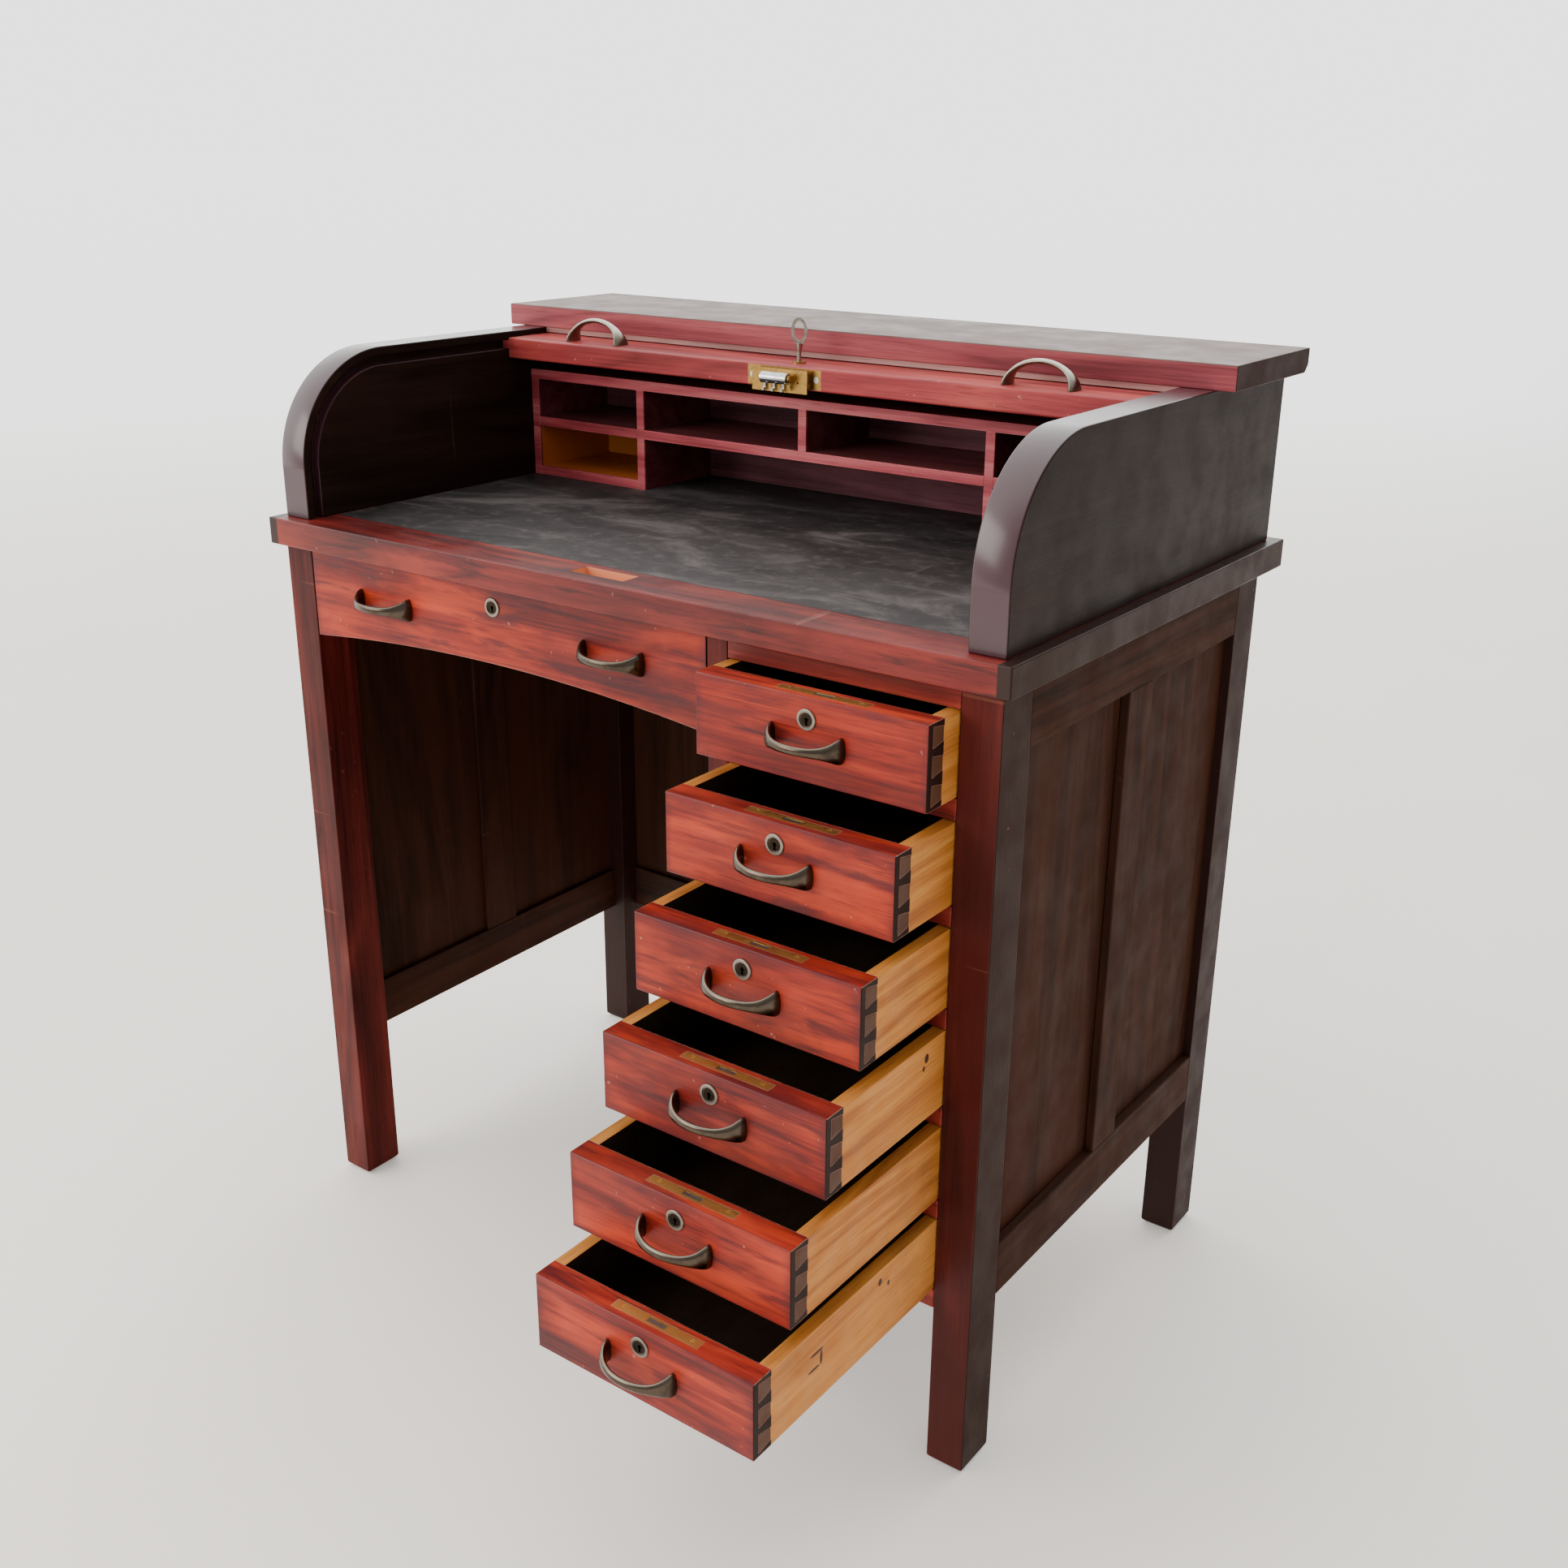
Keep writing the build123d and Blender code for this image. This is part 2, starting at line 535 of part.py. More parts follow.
# ---------------------------------------------------------------- the curtain
def slat():
    """One slat, its inner face on z = 0 and its middle on the origin, lying across the desk."""
    bar = block((-TONGUE_X, TONGUE_X), (-(SLAT_PITCH - SLAT_GAP) / 2, (SLAT_PITCH - SLAT_GAP) / 2), (0.0, SLAT_T))
    crown = bar.edges().filter_by(Axis.X).group_by(Axis.Z)[-1]
    return fillet(crown, 3.0)


def curtain():
    first = RAIL_Y[1] + SLAT_GAP + (SLAT_PITCH - SLAT_GAP) / 2
    front = [Pos(0, first + SLAT_PITCH * k, CURTAIN_LOW) * slat() for k in range(FRONT_SLATS)]
    add("tambour_slats", group(front))
    canvas_z = (CURTAIN_LOW - CANVAS_T, CURTAIN_LOW)
    tail_y = RAIL_Y[1] + FRONT_SLATS * SLAT_PITCH - 0.6
    add("tambour_canvas", block((-CANVAS_X, CANVAS_X), (RAIL_Y[1], tail_y), canvas_z))

    centre_y = BACK_RUN_Y - BACK_BEND_R
    centre_z = CHEEK_TOP - GROOVE_MID - BACK_BEND_R
    inner_r = CURTAIN_LOW - centre_z
    bend = inner_r * math.pi / 2
    stored = []
    for k in range(STORED_SLATS):
        s = SLAT_GAP + SLAT_PITCH * (k + 0.5)
        turn = min(s, bend) / inner_r
        past = max(0.0, s - bend)
        y = centre_y + inner_r * math.sin(turn)
        z = centre_z + inner_r * math.cos(turn) - past
        stored.append(Pos(0, y, z) * Rot(-math.degrees(turn), 0, 0) * slat())
    low_z = centre_z + bend - SLAT_GAP - SLAT_PITCH * STORED_SLATS
    r_in = inner_r - CANVAS_T
    start = math.radians(2.0)
    half = math.pi / 4
    x0 = -CANVAS_X

    def at(r, turn):
        return (x0, centre_y + r * math.sin(turn), centre_z + r * math.cos(turn))

    edges = [Line(at(r_in, start), at(inner_r, start))]
    edges.append(ThreePointArc(at(inner_r, start), at(inner_r, half), at(inner_r, 2 * half)))
    edges.append(Line(at(inner_r, 2 * half), (x0, centre_y + inner_r, low_z)))
    edges.append(Line((x0, centre_y + inner_r, low_z), (x0, centre_y + r_in, low_z)))
    edges.append(Line((x0, centre_y + r_in, low_z), at(r_in, 2 * half)))
    edges.append(ThreePointArc(at(r_in, 2 * half), at(r_in, half), at(r_in, start)))
    canvas = extrude(make_face(Wire(edges)), amount=2 * CANVAS_X, dir=(1, 0, 0))
    add("stored_curtain", group(stored + [canvas]))


def lead_rail():
    x = CHEEK_X[0] - 1.0
    rail = block((-x, x), RAIL_Y, RAIL_Z)
    rail = fillet(rail.edges().filter_by(Axis.X), 2.0)
    rail = rail + block((-TONGUE_X, TONGUE_X), RAIL_Y, (CURTAIN_LOW, CURTAIN_LOW + SLAT_T))
    add("lead_rail", rail - rail_lock_room())
    bows = []
    for handle_x in RAIL_HANDLE_X:
        bows.append(Pos(handle_x, RAIL_HANDLE_Y, RAIL_Z[1]) * Rot(-90, 0, 0) * bow_handle())
    add("lead_rail_handles", group(bows))


def rail_lock_room():
    """What the lead rail loses to its lock."""
    y0 = RAIL_Y[0]
    low, high = RAIL_PLATE_Z
    plate = block((LOCK_X - RAIL_PLATE_X, LOCK_X + RAIL_PLATE_X), (y0 - 1.0, y0 + PLATE_T), RAIL_PLATE_Z)
    case_x = (LOCK_X - RAIL_CASE_X, LOCK_X + RAIL_CASE_X)
    case = block(case_x, (y0, y0 + RAIL_CASE_DEEP), (low + 2.0, high - 2.0))
    bore_z = (high - 2.0, RAIL_Z[1] + 1.0)
    bore = Pos(LOCK_X, TAMBOUR_KEY_Y, sum(bore_z) / 2) * Cylinder(COLLAR_R, bore_z[1] - bore_z[0])
    return plate + case + bore


def tambour_lock():
    """Box lock in the lead rail's edge, with the two ears that carry the hook bolt."""
    y0 = RAIL_Y[0]
    low, high = RAIL_PLATE_Z
    body = block((LOCK_X - RAIL_PLATE_X, LOCK_X + RAIL_PLATE_X), (y0, y0 + PLATE_T), RAIL_PLATE_Z)
    case_x = (LOCK_X - RAIL_CASE_X, LOCK_X + RAIL_CASE_X)
    body = body + block(case_x, (y0, y0 + RAIL_CASE_DEEP), (low + 2.0, high - 2.0))
    body = body + block(case_x, (y0 - NOSE_OUT, y0), (low - 3.0, high - 4.0))
    face_y = (y0 - NOSE_OUT - FACE_T, y0 - NOSE_OUT)
    body = body + block((LOCK_X - FACE_X, LOCK_X + FACE_X), face_y, (low - 4.0, high - 1.0))
    collar_z = (high - 2.0, RAIL_Z[1] + COLLAR_OUT)
    body = body + Pos(LOCK_X, TAMBOUR_KEY_Y, sum(collar_z) / 2) * Cylinder(COLLAR_R, collar_z[1] - collar_z[0])
    key_z = (low + 5.0, RAIL_Z[1] + 2.0)
    body = body - Pos(LOCK_X, TAMBOUR_KEY_Y, sum(key_z) / 2) * Cylinder(KEY_R + PIVOT_PLAY, key_z[1] - key_z[0])
    body = body - Pos(LOCK_X, TAMBOUR_KEY_Y, low + 9.0) * Cylinder(KEY_BIT + 1.0, 8.0)
    axis_y = y0 - HOOK_OUT
    for side in (-1, 1):
        inner = HOOK_X + EAR_GAP
        ear_x = sorted((LOCK_X + side * inner, LOCK_X + side * (inner + EAR_T)))
        ear = block(ear_x, (axis_y, face_y[0]), (HOOK_Z - EAR_R, HOOK_Z + EAR_R))
        eye = Pos(sum(ear_x) / 2, axis_y, HOOK_Z) * Rot(0, 90, 0) * Cylinder(EAR_R, EAR_T)
        body = body + ear + eye
    pivot_room = Cylinder(PIVOT_R + PIVOT_PLAY, 2 * HOOK_X + 6.0)
    body = body - Pos(LOCK_X, axis_y, HOOK_Z) * Rot(0, 90, 0) * pivot_room
    screws = []
    for side in (-1, 1):
        at = Pos(LOCK_X + side * RAIL_SCREW_X, y0, sum(RAIL_PLATE_Z) / 2)
        body = body - at * across(RAIL_SCREW_R, (-1.0, 1.5))
        slot = block((-0.4, 0.4), (-1.0, 0.3), (-3.0, 3.0))
        screws.append(at * (across(RAIL_SCREW_R, (-0.4, 1.5)) - slot))
        rivet = Pos(LOCK_X + side * RIVET_X, face_y[0], HOOK_Z - 4.0)
        body = body - rivet * across(RIVET_R, (-1.0, 2.5))
    add("tambour_lock", group([body] + screws))


def hook_bolt():
    """Chromed hook bolt: a barrel across the lock's face, its pivots in the ears, with three claws."""
    axis = (RAIL_Y[0] - HOOK_OUT, HOOK_Z)
    lie = Pos(LOCK_X, axis[0], axis[1]) * Rot(0, 90, 0)
    bolt = lie * Cylinder(HOOK_R, 2 * HOOK_X)
    bolt = bolt + lie * Cylinder(PIVOT_R, 2 * (HOOK_X + EAR_GAP + EAR_T) - 0.2)
    for k in (-1, 0, 1):
        mid = LOCK_X + 11.0 * k
        x = (mid - CLAW_T / 2, mid + CLAW_T / 2)
        stem = block(x, (axis[0] - 2.5, axis[0] + 2.5), (axis[1] - CLAW_L, axis[1]))
        toe = block(x, (axis[0] - 5.5, axis[0]), (axis[1] - CLAW_L, axis[1] - CLAW_L + 3.0))
        bolt = bolt + stem + toe
    add("tambour_hook_bolt", bolt)


def key():
    """The key standing in the lead rail's lock."""
    low = RAIL_PLATE_Z[0] + 6.0
    wide, tall = KEY_BOW
    neck = KEY_BOW_Z - tall + 1.5
    shank = Pos(0, 0, (low + neck) / 2) * Cylinder(KEY_R, neck - low)
    ring = extrude(Ellipse(wide, tall), 1.5, both=True)
    ring = ring - extrude(Ellipse(wide - 3.0, tall - 3.4), 3.0, both=True)
    bow = Pos(0, 0, KEY_BOW_Z) * Rot(90, 0, 0) * ring
    swell = Pos(0, 0, neck - 5.0) * Cone(KEY_R, KEY_R + 1.6, 8.0)
    bit = block((0.0, KEY_BIT), (-1.0, 1.0), (low, low + 5.0))
    add("tambour_key", Pos(LOCK_X, TAMBOUR_KEY_Y, 0) * Rot(0, 0, KEY_TURN) * (shank + bow + swell + bit))


def main():
    carcass()
    rails_and_runners()
    drawers()
    desk_top()
    superstructure()
    pigeonholes()
    curtain()
    lead_rail()
    tambour_lock()
    hook_bolt()
    key()
    os.makedirs("parts", exist_ok=True)
    for name, shape in PARTS.items():
        export_step(shape, "parts/%s.step" % name)


main()
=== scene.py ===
"""Looks of the roll top desk: aged varnished mahogany, leathercloth, brass, bronze and chrome."""
import math
import bpy
from mathutils import Matrix, Vector


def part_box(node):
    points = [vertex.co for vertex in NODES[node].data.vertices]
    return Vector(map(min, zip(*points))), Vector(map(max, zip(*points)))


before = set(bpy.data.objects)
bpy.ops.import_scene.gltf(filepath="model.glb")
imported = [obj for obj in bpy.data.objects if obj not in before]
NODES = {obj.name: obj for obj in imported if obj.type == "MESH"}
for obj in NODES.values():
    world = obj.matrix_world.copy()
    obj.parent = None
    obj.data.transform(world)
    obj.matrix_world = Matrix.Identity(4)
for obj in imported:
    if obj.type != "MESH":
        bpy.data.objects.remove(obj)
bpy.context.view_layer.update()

MM = 0.001
X, Y, Z = 0, 1, 2
FAR = 10.0                      # metres, farther out than any part of the desk

# sockets of the mix node for vectors and for colours
VECTOR_A, VECTOR_B, MIXED_VECTOR = 4, 5, 1
COLOUR_A, COLOUR_B, MIXED_COLOUR = 6, 7, 2

# dark, middle and light tone of each wood
MAHOGANY = ("4a110d", "8f2418", "c04023")
RIBBONS = ("48161c", "c8401e")
LEG = ("300d0a", "521a16", "6c2720")
RAIL = ("45120e", "822820", "a63c2c")
TOP = ("380f0f", "641b1a", "8a2c24")
TOP_RIBBONS = ("2e1013", "9a3424")
BOARD = ("6c262c", "984249", "b05a5c")
STRIP = ("8a5a55", "a87671", "bf918a")
LEAD_RAIL = ("702022", "a83a3e", "c8584f")
SLAT = ("4a1c1a", "7a332d", "9a4c43")
CHEEK = ("170d0b", "221511", "2c1c16")
SHADE = ("24130c", "341c12", "412518")
PINK = ("8c2c34", "c25059", "da7a7a")
PINK_BACK = ("4a2428", "74404a", "8a5258")
HONEY = ("98541c", "bc742c", "d08c40")

# tones laid over the wood in places
# painted shade: faces at the left and right ends of the legs, desk top and top board get the dark tone of the shaded
# sides
SIDE_SHADE = "2b150d"
# painted shade: the back legs, in the shade of the kneehole and the desk's back, are made dark brown
BACK_LEG_SHADE = "2a1511"
FRONT_END = "26130d"
FRONT_BORDER = "4c1c24"
# painted shade: the insides of the drawers are made near black
INTERIOR_SHADE = "0d0b0a"
TAIL_STAIN = "35150c"
STRIKE_WOOD = "e0936c"
# grey-brown tone on the upper face of the top board
GREY_UPPER_TONE = "5a4b42"
# painted light: the cheeks' curved edges, which face the light, get a lighter red-brown than their flat faces
CURVE_LIGHT = "42202a"
# painted shade: the inside of the pigeonholes, behind their front edges, is darkened
BAY_SHADE = "34181a"
BRIGHT_BAY = "c4641f"
BRIGHT_BACK = "ff9a3c"
MARK = "3a1d0e"

# places on the desk
MUNTIN_Z = (0.222, 0.6835)      # heights between which the frames' middle uprights stand
LEG_OUTSIDE = 414.6 * MM        # from the middle to just inside the outer faces of the legs
BACK_LEG_Y = 150 * MM           # the back legs lie behind this
TOP_OVERHANG = 12 * MM          # the part of the desk top's ends that gets the painted shade of the sides
STRIKE_X = (-33 * MM, 31 * MM)
STRIKE_Y = (-251.5 * MM, -228.5 * MM)
STRIKE_Z = (-15 * MM, -0.4 * MM)            # below the desk top's upper face
BAY_RIGHT = -226 * MM           # right side of the lower left bay
BAY_TOP = 819.6 * MM            # its upper side
WALL = 12 * MM                  # thickness of a drawer's sides
SKIN = 0.4 * MM                 # a mask for an end face reaches this far into the wood
LOCK_SCREW_X = 38.5 * MM        # from the middle of the curtain's lock to its two screws
LOCK_SCREW_Y = 33 * MM
LOCK_SCREW_Z = 907.5 * MM

# dark marks on the right sides of two drawers: place from the front board's back lower corner along Y and Z,
# then half size along Y and Z, in metres
MARKS = {
    "drawer_4": [(0.120, 0.058, 0.0035, 0.005), (0.116, 0.050, 0.002, 0.003)],
    "drawer_6": [(0.060, 0.048, 0.010, 0.0016), (0.066, 0.040, 0.002, 0.008), (0.056, 0.034, 0.009, 0.0016),
                 (0.150, 0.060, 0.003, 0.004), (0.163, 0.052, 0.002, 0.003)],
}
MARK_DEPTH = 3 * MM

# floor, light and camera
PALE_WALL = (-0.75, 0.42, 0.52)    # direction of the bright side of the studio
WALL_EDGE = (0.0, 0.62)            # how near a direction has to be to it to be in the dim or the bright part
WALL_LEVEL = 3.0
ROOM_LEVEL = 0.85
STUDIO_WHITE = "eef0ee"
FLOOR_TONES = ("f4e9e0", "f6ece4")
FLOOR_REACH = 60.0
FLOOR_FADE = (1.2, 7.5)            # distances between which the floor melts into the studio
FLOOR_GLOW = 0.3
FAR_FLOOR_SHARE = 0.9
WINDOW_AT = (-1.9, -3.0, 1.9)
WINDOW_TARGET = (0.0, 0.0, 0.5)
WINDOW_SIZE = (2.2, 1.8)
WINDOW_POWER = 62.0
WINDOW_COLOUR = (1.0, 0.96, 0.92)
CAMERA_AT = (1.0000, -1.3417, 1.1323)
CAMERA_YAW = 0.62939
CAMERA_PITCH = -0.36489
CAMERA_ROLL = 0.00787
FOCAL = 2107.51 / 1932.0           # focal length over the picture's width
SENSOR_WIDTH = 36.0
NEAR_CLIP = 0.05


# ---------------------------------------------------------------- shader helpers
def tone(code):
    """Linear colour with alpha from a six digit sRGB code."""
    parts = [int(code[i:i + 2], 16) / 255 for i in (0, 2, 4)]
    linear = [c / 12.92 if c <= 0.04045 else ((c + 0.055) / 1.055) ** 2.4 for c in parts]
    return (*linear, 1.0)


class Shader:
    """A material and short ways to add nodes to it."""

    def __init__(self, name):
        self.material = bpy.data.materials.new(name)
        self.material.use_nodes = True
        self.tree = self.material.node_tree
        self.tree.nodes.clear()
        self.place = self.node("TexCoord").outputs["Object"]
        self.turned = None      # (mask, axis, axis): where it is 1, a texture's two axes change places

    def node(self, kind, inputs=None, **settings):
        made = self.tree.nodes.new("ShaderNode" + kind)
        for key, value in settings.items():
            setattr(made, key, value)
        for key, value in (inputs or {}).items():
            if isinstance(value, bpy.types.NodeSocket):
                self.tree.links.new(value, made.inputs[key])
            else:
                made.inputs[key].default_value = value
        return made

    def math(self, kind, a, b=0.0):
        return self.node("Math", {0: a, 1: b}, operation=kind).outputs[0]

    def times(self, a, b):
        return self.math("MULTIPLY", a, b)

    def vector(self, kind, a, b):
        return self.node("VectorMath", {0: a, 1: b}, operation=kind)

    def length(self, vector):
        return self.node("VectorMath", {0: vector}, operation="LENGTH").outputs["Value"]

    def dot(self, a, b):
        return self.vector("DOT_PRODUCT", a, b).outputs["Value"]

    def parts(self, vector):
        return self.node("SeparateXYZ", {0: vector}).outputs

    def at(self, axis):
        """Place along one axis of the row frame."""
        return self.parts(self.place)[axis]

    def facing(self):
        """Parts of the face's normal."""
        return self.parts(self.node("NewGeometry").outputs["Normal"])

    def sideways(self):
        """How much a face looks to the left or the right."""
        return self.math("ABSOLUTE", self.facing()[X])

    def stretched(self, scale, shift=(0.0, 0.0, 0.0)):
        moved = self.vector("ADD", self.place, shift).outputs[0]
        drawn = self.vector("MULTIPLY", moved, scale).outputs[0]
        if self.turned is None:
            return drawn
        mask, a, b = self.turned
        other = list(scale)
        other[a], other[b] = scale[b], scale[a]
        across = self.vector("MULTIPLY", moved, tuple(other)).outputs[0]
        inputs = {0: mask, VECTOR_A: drawn, VECTOR_B: across}
        return self.node("Mix", inputs, data_type="VECTOR").outputs[MIXED_VECTOR]

    def noise(self, vector, scale, detail=2.0, rough=0.5, bend=0.0):
        inputs = {"Vector": vector, "Scale": scale, "Detail": detail, "Roughness": rough, "Distortion": bend}
        return self.node("TexNoise", inputs).outputs[0]

    def drawn_noise(self, scale, shift, detail=2.0, rough=0.5, bend=0.0):
        """Noise drawn out by a scale per axis."""
        return self.noise(self.stretched(scale, shift), 1.0, detail, rough, bend)

    def step(self, value, low, high, to_low=0.0, to_high=1.0):
        inputs = {0: value, 1: low, 2: high, 3: to_low, 4: to_high}
        return self.node("MapRange", inputs, clamp=True, interpolation_type="SMOOTHSTEP").outputs[0]

    def mix(self, factor, a, b):
        inputs = {0: factor, COLOUR_A: a, COLOUR_B: b}
        return self.node("Mix", inputs, data_type="RGBA").outputs[MIXED_COLOUR]

    def overlay(self, colour, masks):
        """Lays the colour of each (function giving a mask, share of it, colour code) over a colour."""
        for mask, share, code in masks:
            amount = mask(self) if share == 1.0 else self.times(mask(self), share)
            colour = self.mix(amount, colour, tone(code))
        return colour

    def ramp(self, value, stops):
        made = self.node("ValToRGB", {0: value})
        band = made.color_ramp
        while len(band.elements) < len(stops):
            band.elements.new(0.5)
        for element, (at, colour) in zip(band.elements, stops):
            element.position = at
            element.color = colour
        return made.outputs[0]

    def inside(self, low, high):
        """1 inside a box of the row frame, else 0."""
        result = None
        for socket, a, b in zip(self.parts(self.place), low, high):
            slab = self.times(self.math("GREATER_THAN", socket, a), self.math("LESS_THAN", socket, b))
            result = slab if result is None else self.times(result, slab)
        return result

    def disc(self, centre, radii):
        """Soft spot: 1 at the centre, 0 outside an ellipsoid."""
        away = self.vector("SUBTRACT", self.place, centre).outputs[0]
        unit = self.vector("DIVIDE", away, radii).outputs[0]
        return self.step(self.length(unit), 1.0, 0.75)

    def before(self, axis, limit):
        """1 where the place along an axis is less than a limit."""
        return self.math("LESS_THAN", self.at(axis), limit)

    def after(self, axis, limit):
        """1 where the place along an axis is more than a limit."""
        return self.math("GREATER_THAN", self.at(axis), limit)

    def margin(self, low, high, axes, width):
        """Soft mask of the border of a face, between the low and high corners along two axes."""
        nearest = None
        for axis in axes:
            at = self.at(axis)
            for gap in (self.math("SUBTRACT", at, low[axis]), self.math("SUBTRACT", high[axis], at)):
                nearest = gap if nearest is None else self.math("MINIMUM", nearest, gap)
        ragged = self.times(self.noise(self.place, 30.0, 4.0, 0.6), 1.6 * width)
        return self.step(self.math("ADD", nearest, ragged), width * 1.9, width * 0.5)

    def edges(self, radius, low, high):
        """Worn arrises and painted edge highlights: 1 along outer edges."""
        soft = self.node("Bevel", {"Radius": radius}, samples=6).outputs[0]
        true = self.node("NewGeometry").outputs["Normal"]
        return self.step(self.dot(soft, true), high, low)

    def bump(self, height, strength, distance, under=None):
        inputs = {"Height": height, "Strength": strength, "Distance": distance}
        if under is not None:
            inputs["Normal"] = under
        return self.node("Bump", inputs).outputs[0]

    def finish(self, colour, roughness, normal, gloss=None, **more):
        inputs = {"Base Color": colour, "Roughness": roughness}
        if normal is not None:
            inputs["Normal"] = normal
        if gloss is not None:
            inputs["Specular IOR Level"] = gloss
        inputs.update({key.replace("_", " "): value for key, value in more.items()})
        shader = self.node("BsdfPrincipled", inputs)
        output = self.node("OutputMaterial")
        self.tree.links.new(shader.outputs[0], output.inputs[0])
        return self.material


def along(axis, fine, coarse):
    """Scale that draws a texture out along one axis."""
    return tuple(coarse if i == axis else fine for i in range(3))


# ---------------------------------------------------------------- materials
def wood_grain(s, tones, axis, shift, figure):
    """(colour, height) of a board: growth figure, fibres and open pores along one axis."""
    dark, middle, light = (tone(code) for code in tones)
    board = s.drawn_noise(along(axis, figure, figure * 0.11), shift, 3.0, 0.55, 0.8)
    rings = s.times(s.math("PINGPONG", s.times(board, 7.0), 0.5), 2.0)
    fibres = s.drawn_noise(along(axis, 420.0, 9.0), shift, 3.0, 0.65)
    streaks = s.drawn_noise(along(axis, 60.0, 2.2), shift, 3.0, 0.6, 0.3)
    value = s.math("ADD", s.times(rings, 0.22), s.times(fibres, 0.34))
    value = s.math("ADD", value, s.times(streaks, 0.52))
    colour = s.ramp(value, [(0.33, dark), (0.52, middle), (0.74, light)])
    pores = s.step(s.drawn_noise(along(axis, 900.0, 28.0), shift, 1.0), 0.60, 0.68)
    colour = s.mix(s.times(pores, 0.45), colour, dark)
    height = s.math("SUBTRACT", s.times(fibres, 0.5), pores)
    return colour, height


def varnished(name, tones, axis, wear_and_highlight, shift=(0.0, 0.0, 0.0), rough=(0.28, 0.5), grime="1a0f0c",
              grime_share=0.5, edge=0.7, coat=0.25, gloss=0.35, patch=None, figure=9.0, ribbons=None, masks=(),
              uprights=None):
    """Aged varnish over mahogany, with darker grime, rubbed arrises that also carry a painted highlight, and small
    scratches.

    ribbons is a pair of colour codes for the dark bands and bright flames of showy boards.
    masks is a list for Shader.overlay.
    uprights is the pair of heights between which the grain stands up."""
    s = Shader(name)
    if uprights:
        low, high = uprights
        s.turned = (s.times(s.after(Z, low), s.before(Z, high)), axis, Z)
    colour, height = wood_grain(s, tones, axis, shift, figure)
    cloud = s.noise(s.place, 5.0, 5.0, 0.6)
    if ribbons:
        dark_band, bright_flame = ribbons
        flame = s.drawn_noise(along(axis, 34.0, 7.0), (0.4, 0.2, 0.6), 3.0, 0.55, 0.5)
        colour = s.mix(s.times(s.step(flame, 0.47, 0.68), 0.6), colour, tone(bright_flame))
        band = s.drawn_noise(along(axis, 75.0, 9.0), shift, 4.0, 0.6, 0.6)
        colour = s.mix(s.times(s.step(band, 0.50, 0.70), 0.8), colour, tone(dark_band))
    if patch:
        patches = s.drawn_noise(along(axis, 7.0, 2.0), shift, 4.0, 0.6)
        colour = s.mix(s.step(patches, 0.45, 0.68), colour, tone(patch))
    colour = s.mix(s.times(s.step(cloud, 0.42, 0.7), grime_share), colour, tone(grime))
    colour = s.overlay(colour, masks)
    # partly wear, partly painted highlight: a light tone along the outer edges stands for rubbed varnish and for
    # bright arris lines
    rubbing = s.step(s.noise(s.place, 45.0, 4.0, 0.7), 0.22, 0.50)
    rub_and_highlight = s.times(s.edges(1.0 * MM, 0.80, 0.985), rubbing)
    colour = s.mix(s.times(rub_and_highlight, edge), colour, tone(wear_and_highlight))
    scratches = s.drawn_noise(along((axis + 1) % 3, 130.0, 5.0), (0.3, 0.7, 0.1), 2.0, 0.6)
    colour = s.mix(s.times(s.step(scratches, 0.72, 0.76), 0.22), colour, tone(wear_and_highlight))
    dull = s.noise(s.place, 22.0, 4.0, 0.6)
    roughness = s.math("ADD", s.step(dull, 0.3, 0.7, *rough), s.times(rub_and_highlight, 0.12))
    normal = s.bump(height, 0.22, 0.25 * MM)
    normal = s.bump(cloud, 0.05, 1.0 * MM, normal)
    sideways = s.sideways()
    shine = s.step(sideways, 0.4, 0.9, gloss, 0.3 * gloss)
    top_coat = s.step(sideways, 0.3, 0.9, coat, 0.0)
    return s.finish(colour, roughness, normal, shine, Coat_Weight=top_coat, Coat_Roughness=0.22)


def raw_wood(name, tones, axis, shift=(0.0, 0.0, 0.0), masks=()):
    """Planed wood with no varnish, with masks of stain laid over it."""
    s = Shader(name)
    colour, height = wood_grain(s, tones, axis, shift, 12.0)
    soil = s.step(s.noise(s.place, 9.0, 5.0, 0.65), 0.5, 0.78)
    colour = s.mix(s.times(soil, 0.35), colour, tone("6b3f1d"))
    colour = s.overlay(colour, masks)
    roughness = s.step(s.noise(s.place, 40.0, 3.0), 0.3, 0.7, 0.52, 0.72)
    normal = s.bump(height, 0.35, 0.3 * MM)
    return s.finish(colour, roughness, normal, 0.35)


def metal(name, base, tarnish, share, rough, scale=160.0, masks=(), wear_and_highlight=None, brushed=None):
    """Old metal: tarnish in clouds and specks, with a lighter tone, partly wear and partly painted highlight, on faces
    that look up.
    """
    s = Shader(name)
    cloud = s.noise(s.place, scale, 5.0, 0.65)
    specks = s.step(s.noise(s.place, scale * 6.0, 2.0), 0.62, 0.74)
    dirty = s.times(s.step(cloud, 0.38, 0.68), share)
    colour = s.mix(dirty, tone(base), tone(tarnish))
    colour = s.mix(s.times(specks, 0.4), colour, tone(tarnish))
    colour = s.overlay(colour, masks)
    if wear_and_highlight:
        # partly wear, partly painted highlight: faces that look up are made lighter
        crest = s.step(s.math("ADD", s.facing()[Z], cloud), 0.75, 1.45)
        colour = s.mix(s.times(crest, 0.75), colour, tone(wear_and_highlight))
    roughness = s.step(cloud, 0.3, 0.7, *rough)
    if brushed is None:
        normal = s.bump(cloud, 0.12, 0.08 * MM)
    else:
        lines = s.drawn_noise(along(brushed, 2600.0, 60.0), (0.0, 0.0, 0.0))
        normal = s.bump(lines, 0.25, 0.05 * MM)
    return s.finish(colour, roughness, normal, Metallic=1.0)


